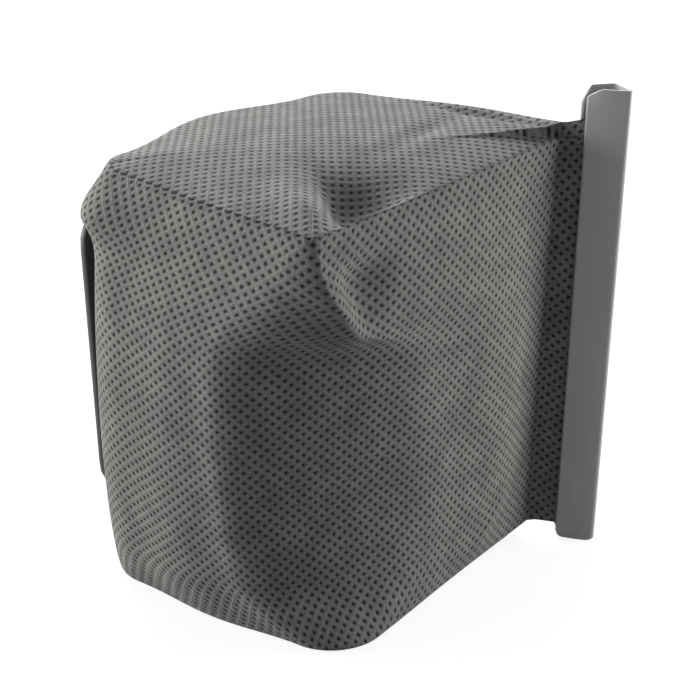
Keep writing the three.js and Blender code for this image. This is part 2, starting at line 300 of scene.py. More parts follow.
def near_facet(h, previous, following):
    """Points of the near corner: a facet between two bends, each as full as it says."""
    point = corner_at("near", h)
    heights, *columns = np.array(NEAR_FACET).T
    window = np.clip(h + FACET_SOFTNESS * np.linspace(-1, 1, FACET_SAMPLES), 0, 1)
    if min(h, 1 - h) < FACET_SOFTNESS:
        window = np.array([h])
    row = [np.interp(window, heights, column).mean() for column in columns]
    reach_sewn, reach_front, full_sewn, full_front = row
    start = point + unit(previous - point) * reach_sewn
    end = point + unit(following - point) * reach_front
    bend_start = start + (point - start) * full_sewn
    bend_end = end + (point - end) * full_front
    t = np.linspace(0, 1, ARC_STEPS["near"] + 1)[:, None]
    return ((1 - t) ** 3 * start + 3 * t * (1 - t) ** 2 * bend_start
            + 3 * t ** 2 * (1 - t) * bend_end + t ** 3 * end)


def corner_arc(name, h, previous, following):
    point, radius = corner_at(name, h), along_height(*CORNERS[name]["round"], h)
    before = unit(previous - point)
    after = unit(following - point)
    half = math.acos(float(before @ after)) / 2
    centre = point + unit(before + after) * radius / math.sin(half)
    start = point + before * radius / math.tan(half) - centre
    first = math.atan2(start[1], start[0])
    turn = first + (math.pi - 2 * half) * np.linspace(0, 1, ARC_STEPS[name] + 1)
    return centre + radius * np.stack([np.cos(turn), np.sin(turn)], axis=1)


def side(name, h, start, end):
    """Points between two corners, without the corners' own, bowed outward."""
    t = np.linspace(0, 1, SIDE_STEPS[name] + 1)[1:-1, None]
    along = end - start
    outward = unit(np.array([along[1], -along[0]]))
    return start + along * t + outward * along_height(*SIDE_BOW[name], h) * np.sin(np.pi * t) ** 2


def hem_points():
    """(along, across) of the hem's front from the crease outward, then of its back inward."""
    half = HEM_THICKNESS / 2
    start, end = FOLDED_END
    flat = np.linspace(0, start, HEM_STEPS + 1)[1:]
    bead = np.linspace(start, end, FOLDED_STEPS + 1)[1:-1]
    far = FOLDED_THICKNESS - half
    front = [(a, -half) for a in flat] + [(a, -half) for a in bead] + [(end, -half + FOLDED_ROUNDING)]
    back = [(end, far - FOLDED_ROUNDING)] + [(a, far) for a in bead[::-1]]
    back += [(start, far - FOLDED_STEP)] + [(a, half) for a in flat[-2::-1]]
    return front, back


def outline(h):
    """The bag's outline at one height: points, the stretch each lies on, and its share of it."""
    near, back, sewn = (corner_at(name, h) for name in ("near", "back", "sewn"))
    crease = along_height(*HEM_CREASE, h)
    half = HEM_THICKNESS / 2
    front_crease = HEM_ROOT + HEM_ALONG * crease - HEM_ACROSS * half
    back_crease = HEM_ROOT + HEM_ALONG * crease + HEM_ACROSS * half
    arcs = {
        "near": near_facet(h, sewn, front_crease),
        "back": corner_arc("back", h, back_crease, sewn),
        "sewn": corner_arc("sewn", h, back, near),
    }
    hem_front, hem_back = hem_points()

    def hem(points):
        first = crease + HEM_START
        return np.array([HEM_ROOT + HEM_ALONG * max(a, first) + HEM_ACROSS * b for a, b in points])

    half_sewn = ARC_STEPS["sewn"] // 2
    runs = [
        ("sewn_arc", arcs["sewn"][half_sewn:]),
        ("sewn", side("sewn", h, arcs["sewn"][-1], arcs["near"][0])),
        ("near_arc", arcs["near"]),
        ("front", side("front", h, arcs["near"][-1], front_crease)),
        ("crease", front_crease[None]),
        ("hem_front", hem(hem_front)),
        ("hem_back", hem(hem_back)),
        ("slack", back_crease[None]),
        ("mouth", side("mouth", h, back_crease, arcs["back"][0])),
        ("back_arc", arcs["back"]),
        ("collar", side("collar", h, arcs["back"][-1], arcs["sewn"][0])),
        ("sewn_arc_end", arcs["sewn"][:half_sewn]),
    ]
    return runs


# Stretch of the outline that each place in a ring of the wall lies on
RUN_OF = np.concatenate([[name] * len(points) for name, points in outline(0.5)])
RING_COUNT = len(RUN_OF)
IN_HEM = np.char.startswith(RUN_OF, "hem")


def places_on(*runs):
    """Places in a ring that lie on these stretches."""
    return np.nonzero(np.isin(RUN_OF, runs))[0]


CREASE = places_on("crease")[0]
SLACK = places_on("slack")[0]
SEWN_MIDDLE = places_on("sewn")[SIDE_STEPS["sewn"] // 2]
NEAR_MIDDLE = places_on("near_arc")[ARC_STEPS["near"] // 2]

# The seam runs from the middle of the sewn corner to the middle of the near corner
sewn_places = places_on("sewn_arc", "sewn", "near_arc")
SEAM = sewn_places[sewn_places <= NEAR_MIDDLE]

# Corner that gives each stretch the lift of its edge
LIFT_CORNERS = {
    "sewn_arc": "sewn", "near_arc": "near", "crease": "crease",
    "slack": "slack", "back_arc": "back", "sewn_arc_end": "sewn",
}


def lift_round(lifts):
    """Lift of an edge at every place in a ring, blended between the corners."""
    places, values = [], []
    for run, corner in LIFT_CORNERS.items():
        ends = np.unique(places_on(run)[[0, -1]])
        places.extend(ends)
        values.extend([lifts[corner]] * len(ends))
    return np.interp(np.arange(RING_COUNT), places, values)


TOP_EDGE = BAG_HEIGHT + lift_round(TOP_LIFT)
BASE_EDGE = lift_round(BASE_LIFT)


def fold_depth(face, a, b):
    """How deep the folds of a face are at places on it."""
    depth = np.zeros_like(a)
    for (at_a, at_b), turn, length, (left_width, right_width), amount in FOLDS[face]:
        turn = math.radians(turn)
        along = ((a - at_a) * math.cos(turn) + (b - at_b) * math.sin(turn)) / length
        left = (b - at_b) * math.cos(turn) - (a - at_a) * math.sin(turn)
        across = left / np.where(left > 0, left_width, right_width)
        depth += amount * np.exp(-along ** 2 - across ** 2)
    return depth


def ring_normals(points):
    along = np.roll(points, -1, axis=0) - np.roll(points, 1, axis=0)
    outward = np.stack([along[:, 1], -along[:, 0]], axis=1)
    return outward / np.linalg.norm(outward, axis=1, keepdims=True)


def pressed_to_collar(points):
    """Wall points pressed flat where the collar holds the fabric."""
    reach = np.hypot(points[:, 0] - COLLAR_CENTRE[0], points[:, 2] - COLLAR_CENTRE[1])
    seat = COLLAR_PLANE - SEAT_GAP
    press = 1 - smoothstep(reach, FLAT_RADIUS, FLAT_RADIUS + FLAT_FADE)
    pressed = np.minimum(points[:, 1], seat) * (1 - press) + seat * press
    points[:, 1] = np.where(points[:, 1] > COLLAR_PLANE / 2, pressed, points[:, 1])
    return points


def wall_ring(h):
    flat = np.concatenate([points for _, points in outline(h)])
    z = BASE_EDGE + (TOP_EDGE - BASE_EDGE) * h
    hem_back = RUN_OF == "hem_back"
    reach = (flat - HEM_ROOT) @ HEM_ALONG
    rise = smoothstep(reach, 0, RAIL_REACH)
    top_back = TOP_EDGE + (HEM_TOP_BACK - TOP_EDGE) * rise
    hem_top = np.where(hem_back, top_back, HEM_TOP_FRONT)
    z = np.where(IN_HEM, HEM_BASE + (hem_top - HEM_BASE) * h, z)
    outward = ring_normals(flat)
    push = fold_depth("front", flat[:, 0], z) * np.maximum(0, -outward[:, 1])
    push += fold_depth("sewn", flat[:, 1], z) * np.maximum(0, -outward[:, 0])
    edge = min(1.0, FOLD_FADE * h, FOLD_FADE * (1 - h))
    push = np.where(IN_HEM | (RUN_OF == "crease") | (RUN_OF == "slack"), 0, push * edge)
    if h == 1.0:
        push[SEAM] += SEAM_GROOVE
        z[SEAM] -= SEAM_GROOVE / 2
    moved = flat - outward * push[:, None]
    return pressed_to_collar(np.column_stack([moved, z]))


class Patches:
    """Faces of the fabric with a dot-lattice coordinate for each of their corners."""

    def __init__(self):
        self.points = []
        self.faces = []
        self.lattice = []

    def add_points(self, points):
        first = len(self.points)
        self.points.extend(map(tuple, points))
        return np.arange(first, first + len(points))

    def add_face(self, ids, places, flip=False):
        step = -1 if flip else 1
        self.faces.append([int(i) for i in ids][::step])
        self.lattice.extend(places[::step])


def run_along(ring):
    """Distance of each point along a closed ring, and of the first point once round."""
    steps = np.linalg.norm(np.roll(ring, -1, axis=0) - ring, axis=1)
    return np.concatenate([[0], np.cumsum(steps)])


def lattice_steps(ring, panels):
    """Lattice coordinate along a ring, in dot cells: true on the front and the sewn end, whose
    middle is as far from the crease as panels says. The near corner takes up the rest."""
    run = run_along(ring)
    near = places_on("near_arc")
    on_front = run - run[CREASE]
    on_sewn = run - run[SEWN_MIDDLE] - panels
    share = smoothstep(run, run[near[0]] - CORNER_EASE, run[near[-1]] + CORNER_EASE)
    return (on_sewn * (1 - share) + on_front * share) / DOT_CELL


def climb(ring, following):
    """Distance from each point of a ring to the next ring, square to the ring itself."""
    along = np.roll(ring, -1, axis=0) - np.roll(ring, 1, axis=0)
    along /= np.linalg.norm(along, axis=1, keepdims=True)
    step = following - ring
    sideways = (step * along).sum(axis=1)
    square = np.sqrt(np.maximum(0.0, (step ** 2).sum(axis=1) - sideways ** 2))
    window = np.hanning(CLIMB_WINDOW + 2)[1:-1]
    around = np.concatenate([square[-CLIMB_WINDOW:], square, square[:CLIMB_WINDOW]])
    even = np.convolve(around, window / window.sum(), "same")
    return even[CLIMB_WINDOW:-CLIMB_WINDOW]


def build_bag():
    patches = Patches()
    t = np.linspace(0, 1, WALL_LEVELS + 1)
    levels = (1 - LEVEL_CROWDING) * t + LEVEL_CROWDING * (0.5 - 0.5 * np.cos(np.pi * t))
    rings = [wall_ring(h) for h in levels]
    ids = [patches.add_points(ring) for ring in rings]
    top_run = run_along(rings[-1])
    panels = top_run[CREASE] - top_run[SEWN_MIDDLE]
    across = [lattice_steps(ring, panels) for ring in rings]
    down = np.cumsum([np.zeros(RING_COUNT)] + [
        climb(rings[k], rings[k + 1]) for k in range(WALL_LEVELS)
    ], axis=0)
    down = (down - down[-1]) / DOT_CELL
    for k in range(WALL_LEVELS):
        for i in range(RING_COUNT):
            j = (i + 1) % RING_COUNT
            corners = [(k, i, i), (k, j, i + 1), (k + 1, j, i + 1), (k + 1, i, i)]
            patches.add_face(
                [ids[level][at] for level, at, _ in corners],
                [(across[level][step], down[level][at]) for level, at, step in corners],
            )
    body = np.nonzero(~IN_HEM)[0]
    close_panel(patches, rings[0], ids[0], body, BASE_RINGS, base_height, flip=True)
    close_panel(patches, rings[-1], ids[-1], body, TOP_RINGS, top_height, flip=False)
    close_hem(patches, rings[0], ids[0], flip=True)
    close_hem(patches, rings[-1], ids[-1], flip=False)
    return patches


def base_height(flat, share, edge):
    """Base panel: flat on the floor, with its rim drawn up to the edge."""
    return edge * smoothstep(share, BASE_FLAT, 1.0)


def top_height(flat, share, edge):
    """Top panel: crowned towards its middle, with the folds of the top."""
    crown = TOP_CROWN * (1 - share ** 2) + (edge - BAG_HEIGHT) * share ** TOP_EDGE_POWER
    folds = fold_depth("top", flat[:, 0], flat[:, 1]) * (1 - share ** TOP_FOLD_POWER)
    return BAG_HEIGHT + crown - folds


def close_panel(patches, edge_ring, edge_ids, body, count, height, flip):
    """Panel inside an edge ring, drawn in to its middle over count rings."""
    edge = edge_ring[body]
    middle = edge[:, :2].mean(axis=0)
    rings, ids = [edge], [edge_ids[body]]
    for k in range(count - 1, 0, -1):
        share = k / count
        flat = middle + (edge[:, :2] - middle) * share
        rings.append(np.column_stack([flat, height(flat, share, edge[:, 2])]))
        ids.append(patches.add_points(rings[-1]))
    peak_height = height(middle[None], 0.0, edge[:1, 2])[0]
    peak = patches.add_points([(*middle, peak_height)])[0]
    total = len(body)

    def place(point):
        return (point[0] / DOT_CELL, point[1] / DOT_CELL)

    for k in range(count - 1):
        for i in range(total):
            j = (i + 1) % total
            corners = [(k, i), (k, j), (k + 1, j), (k + 1, i)]
            places = [place(rings[r][c]) for r, c in corners]
            patches.add_face([ids[r][c] for r, c in corners], places, flip)
    for i in range(total):
        j = (i + 1) % total
        places = [place(rings[-1][i]), place(rings[-1][j]), place(middle)]
        patches.add_face([ids[-1][i], ids[-1][j], peak], places, flip)


def close_hem(patches, ring, ids, flip):
    """Closes the hem between its two layers, with a groove beside the front one."""
    front = [CREASE, *places_on("hem_front")]
    back = [*places_on("hem_back"), SLACK][::-1]
    groove = ring[front] * GROOVE_SHARE + ring[back] * (1 - GROOVE_SHARE)
    groove[:, 2] = ring[front, 2] + (1 if flip else -1) * HEM_GROOVE
    groove_ids = patches.add_points(groove)

    def strip(near, near_ids, far, far_ids):
        for k in range(len(near) - 1):
            corners = [near_ids[k], near_ids[k + 1], far_ids[k + 1], far_ids[k]]
            places = [near[k], near[k + 1], far[k + 1], far[k]]
            patches.add_face(corners, [(p[0] / DOT_CELL, p[2] / DOT_CELL) for p in places], flip)

    strip(ring[front], ids[front], groove, groove_ids)
    strip(groove, groove_ids, ring[back], ids[back])


def cut_intake(points, faces, lattice):
    """Leaves out the faces inside the intake hole, and draws the hole's edge to a circle."""
    reach = np.hypot(points[:, 0] - COLLAR_CENTRE[0], points[:, 2] - COLLAR_CENTRE[1])
    behind = points[:, 1] > COLLAR_PLANE / 2
    snap = behind & (np.abs(reach - INTAKE_RADIUS) < INTAKE_SNAP)
    scale = INTAKE_RADIUS / np.maximum(reach, 1e-6)
    for axis, centre in ((0, COLLAR_CENTRE[0]), (2, COLLAR_CENTRE[1])):
        drawn = centre + (points[:, axis] - centre) * scale
        points[:, axis] = np.where(snap, drawn, points[:, axis])
    inside = behind & (reach < INTAKE_RADIUS) & ~snap
    kept_faces, kept_lattice = [], []
    first = 0
    for face in faces:
        if not inside[face].any():
            kept_faces.append(face)
            kept_lattice.extend(lattice[first:first + len(face)])
        first += len(face)
    return points, kept_faces, kept_lattice


def mesh_object(name, points, faces, lattice=None):
    used = sorted({i for face in faces for i in face})
    renumber = {old: new for new, old in enumerate(used)}
    placed = (np.asarray(points)[used] + ORIGIN) * MM
    mesh = bpy.data.meshes.new(name)
    mesh.from_pydata(placed.tolist(), [], [[renumber[i] for i in face] for face in faces])
    if lattice is not None:
        layer = mesh.uv_layers.new(name="lattice")
        layer.data.foreach_set("uv", np.asarray(lattice, dtype=np.float32).ravel())
    mesh.shade_smooth()
    mesh.validate()
    piece = bpy.data.objects.new(name, mesh)
    bpy.context.scene.collection.objects.link(piece)
    return piece


def thicken(bag):
    """Gives the sheet its thickness, and less of it to each of the hem's pressed layers."""
    layers = bag.vertex_groups.new(name="layers")
    from_root = (np.array([v.co[:] for v in bag.data.vertices]) / MM - ORIGIN)[:, :2] - HEM_ROOT
    in_hem = (from_root @ HEM_ALONG > HEM_ZONE[0]) & (np.abs(from_root @ HEM_ACROSS) < HEM_ZONE[1])
    layers.add(np.nonzero(~in_hem)[0].tolist(), 1.0, "REPLACE")
    layers.add(np.nonzero(in_hem)[0].tolist(), HEM_LAYER_SHARE, "REPLACE")
    solid = bag.modifiers.new("thickness", "SOLIDIFY")
    solid.thickness = FABRIC_THICKNESS * MM
    solid.offset = -1
    solid.vertex_group = "layers"


def make_bag(material):
    """The sewn bag with its hem, one folded sheet of fabric."""
    patches = build_bag()
    points, faces, lattice = cut_intake(np.array(patches.points), patches.faces, patches.lattice)
    bag = mesh_object("bag", points, faces, lattice)
    thicken(bag)
    bag.data.materials.append(material)
    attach(bag, "bag")
    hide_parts("bag_fabric")


def tube_faces(rows, around, first=0, closed=False):
    """Faces between rows of points that each go once round, and from last to first if closed."""
    faces = []
    for row in range(rows if closed else rows - 1):
        here = first + row * around
        there = first + (row + 1) % rows * around
        for i in range(around):
            j = (i + 1) % around
            faces.append([here + i, here + j, there + j, there + i])
    return faces


def make_thread(material):
    """Stitches sunk in the seam between the top panel and the sewn end."""
    seam = wall_ring(1.0)[SEAM]
    run = np.concatenate([[0], np.cumsum(np.linalg.norm(np.diff(seam, axis=0), axis=1))])
    random = np.random.default_rng(STITCH_SEED)
    turns = 2 * math.pi * np.arange(STITCH_SIDES) / STITCH_SIDES
    points, faces = [], []

    def on_seam(at):
        return np.array([np.interp(at, run, seam[:, k]) for k in range(3)])

    for start in np.arange(STITCH_START, run[-1] - STITCH_LENGTH, STITCH_PITCH):
        first = len(points)
        for share in np.linspace(0, 1, STITCH_RINGS):
            at = start + STITCH_LENGTH * share
            arch = STITCH_ARCH * math.sin(math.pi * share)
            middle = on_seam(at) + (*STITCH_OFFSET, arch) + random.normal(0, STITCH_JITTER, 3)
            ahead = unit(on_seam(at + STITCH_STEP) - middle)
            across = np.cross(ahead, (0, 0, 1))
            over = np.cross(across, ahead)
            radius = STITCH_WIDTH / 2 * math.sqrt(max(STITCH_TIP, 1 - (2 * share - 1) ** 4))
            for turn in turns:
                points.append(middle + (across * math.cos(turn) + over * math.sin(turn)) * radius)
        faces += tube_faces(STITCH_RINGS, STITCH_SIDES, first)
        faces.append(list(range(first, first + STITCH_SIDES))[::-1])
        faces.append(list(range(len(points) - STITCH_SIDES, len(points))))
    thread = mesh_object("seam_thread", points, faces)
    thread.data.materials.append(material)
    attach(thread, "bag")


def rounded_path(corners, steps=6, spacing=0.6):
    """Open path through points that each carry a radius, with its straight parts divided."""
    path = []
    for i, (point, radius) in enumerate(corners):
        point = np.array(point, float)
        if i in (0, len(corners) - 1) or radius == 0:
            bend = [point]
        else:
            before = np.array(corners[i - 1][0]) - point
            after = np.array(corners[i + 1][0]) - point
            start = point + unit(before) * min(radius, np.linalg.norm(before) / 2)
            end = point + unit(after) * min(radius, np.linalg.norm(after) / 2)
            t = np.linspace(0, 1, steps + 1)[:, None]
            bend = list(start * (1 - t) ** 2 + 2 * point * t * (1 - t) + end * t ** 2)
        if path:
            gap = bend[0] - path[-1]
            parts = max(1, math.ceil(np.linalg.norm(gap) / spacing))
            path += [path[-1] + gap * k / parts for k in range(1, parts)]
        path += bend
    return np.array(path)


def rail_section():
    """Middle of the channel's wall, from the front of its slit round to the back of it, and
    which of its points lie on the back."""
    half = RAIL_WALL / 2
    front = -(HEM_THICKNESS / 2 + SLIT_CLEARANCE + half)
    depth = front - half + RAIL_DEPTH - half
    section = rounded_path([
        ((RAIL_REACH, front), 0),
        ((RAIL_REACH + RAIL_WIDTH / 2, front - RAIL_BOW), RAIL_WIDTH / 2),
        ((RAIL_REACH + RAIL_WIDTH - half, front), RAIL_ROUNDING),
        ((RAIL_REACH + RAIL_BACK_CORNER, depth), RAIL_ROUNDING),
        ((RAIL_REACH - RAIL_LIP, -front), 0),
    ])
    turned = np.nonzero(section[:, 1] > (front + depth) / 2)[0][0]
    return section, np.arange(len(section)) > turned


def corner_drop(reach, radius):
    """How far a rounded corner falls back at a distance from the side it rounds."""
    if reach >= radius:
        return 0.0
    return radius - math.sqrt(max(0.0, radius ** 2 - (radius - max(0.0, reach)) ** 2))


def rail_ends(at, behind):
    """Heights of the rail's base and top at a place across it, on its front or its back."""
    reach = at - RAIL_REACH
    inner = reach + (RAIL_LIP if behind else 0)
    outer = RAIL_WIDTH - reach
    chamfer_reach, chamfer_height = LIP_CHAMFER if behind else TOP_CHAMFER
    top = RAIL_LENGTH - max(0.0, 1 - inner / chamfer_reach) * chamfer_height
    top -= corner_drop(outer, RAIL_ROUNDING)
    base = max(corner_drop(outer, BASE_ROUNDING[1]), corner_drop(inner, BASE_ROUNDING[0]))
    if behind:
        base += LIP_BASE * max(0.0, 1 - inner / RAIL_LIP / LIP_BASE_REACH)
    return base, top


def rail_levels():
    """Rows of the rail's points: share of its height, how far set in, and how far lifted."""
    base = [(0, inset, lift) for inset, lift in RAIL_EDGE]
    middle = [(t, 0, 0) for t in np.linspace(0, 1, RAIL_LEVELS + 1)[1:-1]]
    top = [(1, inset, -lift) for inset, lift in reversed(RAIL_EDGE)]
    return base + middle + top


def rail_points(levels):
    """Points round the channel's wall at each level, along its outside and back along its
    inside, and how many there are at a level."""
    section, on_back = rail_section()
    along = np.gradient(section, axis=0)
    along /= np.linalg.norm(along, axis=1, keepdims=True)
    sideways = np.stack([along[:, 1], -along[:, 0]], axis=1)
    count = len(section)

    # The rounded edge sets the wall's two tips in along the section too
    tips = {0: -1, count - 1: 1}
    around = [(i, 1) for i in range(count)] + [(i, -1) for i in reversed(range(count))]
    points = []
    for share, inset, lift in levels:
        for i, way in around:
            tip = inset * tips.get(i, 0)
            flat = section[i] + sideways[i] * way * (RAIL_WALL / 2 - inset) - along[i] * tip
            base, top = rail_ends(section[i][0], on_back[i])
            place = HEM_ROOT + HEM_ALONG * flat[0] + HEM_ACROSS * flat[1]
            points.append((*place, base + (top - base) * share + lift))
    return points, len(around)


def make_rail(material):
    """Channel of one wall thickness along its section, with shaped and rounded ends."""
    levels = rail_levels()
    points, around = rail_points(levels)
    faces = tube_faces(len(levels), around)
    top = (len(levels) - 1) * around
    for i in range(around // 2 - 1):
        across = around - 1 - i
        faces.append([i + 1, i, across, across - 1])
        faces.append([top + i, top + i + 1, top + across - 1, top + across])
    rail = mesh_object("rail", points, faces)
    rail.data.materials.append(material)
    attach(rail, "rail")
    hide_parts("clamp_rail")


def rounded_rectangle(width, height, radius, turns):
    """Points of a rounded rectangle seen from its middle at the angles given."""
    points = []
    for turn in turns:
        way = np.array([math.cos(turn), math.sin(turn)])
        reach = min(width / 2 / max(abs(way[0]), 1e-9), height / 2 / max(abs(way[1]), 1e-9))
        point = way * reach
        inner = np.array([width / 2 - radius, height / 2 - radius])
        if (np.abs(point) > inner).all():
            centre = np.sign(point) * inner
            along = way @ centre
            reach = along + math.sqrt(max(0.0, along ** 2 - centre @ centre + radius ** 2))
            point = way * reach
        points.append(point)
    return np.array(points)


def ring_piece(name, rows, material, node):
    """Closed ring round the collar's middle, from rows of its section: a radius, or an inset
    from the plate's edge, and a place in y."""
    turns = np.linspace(0, 2 * math.pi, RING_TURNS, endpoint=False)
    points = []
    for kind, size, y in rows:
        if kind == "round":
            flat = np.stack([np.cos(turns), np.sin(turns)], axis=1) * size
        else:
            width, height = PLATE_SIZE[0] - 2 * size, PLATE_SIZE[1] - 2 * size
            flat = rounded_rectangle(width, height, max(0.5, PLATE_RADIUS - size), turns)
        points += [(COLLAR_CENTRE[0] + a, y, COLLAR_CENTRE[1] + b) for a, b in flat]
    ring = mesh_object(name, points, tube_faces(len(rows), RING_TURNS, closed=True))
    ring.data.materials.append(material)
    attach(ring, "bag")
    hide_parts(node)


def node_range(node):
    """Lowest and highest y of a node, in the bag's own millimetres."""
    low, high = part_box(node)
    return low[1] / MM - ORIGIN[1], high[1] / MM - ORIGIN[1]


def make_collar(plastic):
    """Plate with a groove in its face, a rim round its hole and a recess for the seal."""
    low, high = node_range("collar_plate")
    face = low + COLLAR_THICKNESS
    recess = low + SEAL_THICKNESS + SEAT_GAP
    hole = INTAKE_RADIUS
    seat = SEAL_RADIUS + SEAT_GAP
    edge = EDGE_ROUNDING
    small, large = PLATE_ROUNDING
    groove_floor = face - FACE_GROOVE_DEPTH
    groove_start, groove_end = FACE_GROOVE
    plate = [
        ("plate", small, low),
        ("plate", 0.0, low + small),
        ("plate", 0.0, face - large),
        ("plate", PLATE_BEVEL, face - edge),
        ("plate", large, face),
        ("plate", groove_start, face),
        ("plate", groove_start + FACE_GROOVE_SLOPE, groove_floor),
        ("plate", groove_end - FACE_GROOVE_SLOPE, groove_floor),
        ("plate", groove_end, face),
        ("round", hole + RIM_FOOT[2], face),
        ("round", hole + RIM_FOOT[1], face + edge),
        ("round", hole + RIM_FOOT[0], high - edge),
        ("round", hole + RIM_TOP[1], high),
        ("round", hole + RIM_TOP[0], high),
        ("round", hole, high - edge),
        ("round", hole, recess),
        ("round", seat, recess),
        ("round", seat, low),
    ]
    ring_piece("collar", plate, plastic, "collar_plate")


def make_seal(rubber):
    low, high = node_range("collar_seal")
    small, large = SEAL_ROUNDING
    seal = [
        ("round", SEAL_RADIUS, low + small),
        ("round", SEAL_RADIUS, high - small),
        ("round", SEAL_RADIUS - small, high),
        ("round", SEAL_HOLE + large, high),
        ("round", SEAL_HOLE, high - large),
        ("round", SEAL_HOLE, low + large),
        ("round", SEAL_HOLE + large, low),
        ("round", SEAL_RADIUS - small, low),
    ]
    ring_piece("seal", seal, rubber, "collar_seal")


def make_backing_ring(plastic):
    hole = INTAKE_RADIUS
    edge = EDGE_ROUNDING
    low, high = node_range("collar_backing_ring")
    small, large = BACKING_ROUNDING
    backing = [
        ("round", BACKING_RADIUS, low + large),
        ("round", BACKING_RADIUS, high - small),
        ("round", BACKING_RADIUS - small, high),
        ("round", hole + edge, high),
        ("round", hole, high - edge),
        ("round", hole, low + large),
        ("round", hole + large, low),
        ("round", BACKING_RADIUS - large, low),
    ]
    ring_piece("backing_ring", backing, plastic, "collar_backing_ring")


def new_material(name):
    material = bpy.data.materials.new(name)
    material.use_nodes = True
    nodes = material.node_tree.nodes
    shader = nodes["Principled BSDF"]
    return material, nodes, material.node_tree.links, shader


class NodeMaths:
    """Short hand for the maths of one material's nodes."""

    def __init__(self, nodes, links):
        self.nodes = nodes
        self.links = links

    def put(self, value, socket):
        if isinstance(value, bpy.types.NodeSocket):
            self.links.new(value, socket)
        else:
            socket.default_value = value

    def math(self, operation, first, second=0.0):
        node = self.nodes.new("ShaderNodeMath")
        node.operation = operation
        self.put(first, node.inputs[0])
        self.put(second, node.inputs[1])
        return node.outputs[0]

    def ramp(self, value, low, high, to_low=0.0, to_high=1.0):
        node = self.nodes.new("ShaderNodeMapRange")
        node.interpolation_type = "SMOOTHSTEP"
        self.put(value, node.inputs["Value"])
        node.inputs["From Min"].default_value = low
        node.inputs["From Max"].default_value = high
        node.inputs["To Min"].default_value = to_low
        node.inputs["To Max"].default_value = to_high
        return node.outputs["Result"]

    def noise(self, scale, detail=2.0, roughness=0.5, vector=None, stretch=None):
        where = vector
        if where is None:
            where = self.nodes.new("ShaderNodeTexCoord").outputs["Object"]
        if stretch is not None:
            mapping = self.nodes.new("ShaderNodeMapping")
            mapping.inputs["Scale"].default_value = stretch
            self.links.new(where, mapping.inputs["Vector"])
            where = mapping.outputs["Vector"]
        node = self.nodes.new("ShaderNodeTexNoise")
        node.inputs["Scale"].default_value = scale
        node.inputs["Detail"].default_value = detail
        node.inputs["Roughness"].default_value = roughness
        self.links.new(where, node.inputs["Vector"])
        return node.outputs["Fac"]

    def colour(self, factor, first, second, blend="MIX"):
        node = self.nodes.new("ShaderNodeMix")
        node.data_type = "RGBA"
        node.blend_type = blend
        self.put(factor, node.inputs["Factor"])
        self.put(first, node.inputs["A"])
        self.put(second, node.inputs["B"])
        return node.outputs["Result"]

    def bump(self, height, distance, strength=1.0, normal=None):
        node = self.nodes.new("ShaderNodeBump")
        node.inputs["Strength"].default_value = strength
        node.inputs["Distance"].default_value = distance
        self.links.new(height, node.inputs["Height"])
        if normal is not None:
            self.links.new(normal, node.inputs["Normal"])
        return node.outputs["Normal"]


def lattice_sides(do):
    """Distances from the two middle lines of a cell of the dot lattice, which lies a little
    unevenly."""
    place = do.nodes.new("ShaderNodeUVMap")
    place.uv_map = "lattice"
    turn = do.nodes.new("ShaderNodeMapping")
    turn.inputs["Rotation"].default_value = (0, 0, math.radians(45))
    turn.inputs["Scale"].default_value = (math.sqrt(2), math.sqrt(2), 1)
    do.links.new(place.outputs["UV"], turn.inputs["Vector"])
    wobble = do.nodes.new("ShaderNodeTexNoise")
    wobble.inputs["Scale"].default_value = 0.9
    wobble.inputs["Detail"].default_value = 1
    do.links.new(turn.outputs["Vector"], wobble.inputs["Vector"])
    shifted = do.nodes.new("ShaderNodeVectorMath")
    shifted.operation = "MULTIPLY_ADD"
    shifted.inputs[1].default_value = (LATTICE_WOBBLE, LATTICE_WOBBLE, 0)
    do.links.new(wobble.outputs["Color"], shifted.inputs[0])
    do.links.new(turn.outputs["Vector"], shifted.inputs[2])
    split = do.nodes.new("ShaderNodeSeparateXYZ")
    do.links.new(shifted.outputs[0], split.inputs[0])
    sides = []
    for axis in ("X", "Y"):
        within = do.math("FRACT", split.outputs[axis])
        sides.append(do.math("ABSOLUTE", do.math("SUBTRACT", within, 0.5)))
    return sides


def fabric_material():
    """Point-bonded fabric: sunken dots, dark partly in their own right and partly with painted
    shade, inside a net of fine raised lines painted lighter as a highlight.
    """
    material, nodes, links, shader = new_material("dotted_fabric")
    do = NodeMaths(nodes, links)
    sides = lattice_sides(do)
    squares = [do.math("POWER", distance, 2.0) for distance in sides]
    reach = do.math("SQRT", do.math("ADD", *squares))
    ragged = do.noise(1900, 1)
    reach = do.math("ADD", reach, do.math("MULTIPLY", do.math("SUBTRACT", ragged, 0.5), DOT_RAGGEDNESS))
    dot = do.ramp(reach, *DOT_EDGE, 1.0, 0.0)
    line = do.ramp(do.math("MAXIMUM", *sides), *LINE_EDGE)
    fibre = do.noise(1500, 3)
    blotch = do.noise(140, 4)
    shade = do.ramp(do.math("ADD", fibre, blotch), 0.7, 1.3, 0.80, 1.20)

    # The raised lines are painted lighter: a painted highlight where they catch the light
    net = do.colour(line, FABRIC_TONE, FABRIC_LINE_HIGHLIGHT)
    # The dots' dark grey is partly their own tone and partly painted shade in the sunken pits
    tone = do.colour(dot, net, FABRIC_DOT_TONE_AND_SHADE)
    grey = nodes.new("ShaderNodeCombineXYZ")
    for k in range(3):
        links.new(shade, grey.inputs[k])
    links.new(do.colour(1.0, tone, grey.outputs[0], "MULTIPLY"), shader.inputs["Base Color"])

    relief = do.math("SUBTRACT", do.math("MULTIPLY", line, LINE_RELIEF), dot)
    normal = do.bump(relief, DOT_DEPTH, 0.9)
    links.new(do.bump(fibre, FIBRE_DEPTH, 0.5, normal), shader.inputs["Normal"])
    shader.inputs["Roughness"].default_value = 0.85
    shader.inputs["Specular IOR Level"].default_value = 0.2
    shader.inputs["Sheen Weight"].default_value = 0.08
    shader.inputs["Sheen Roughness"].default_value = 0.5
    return material


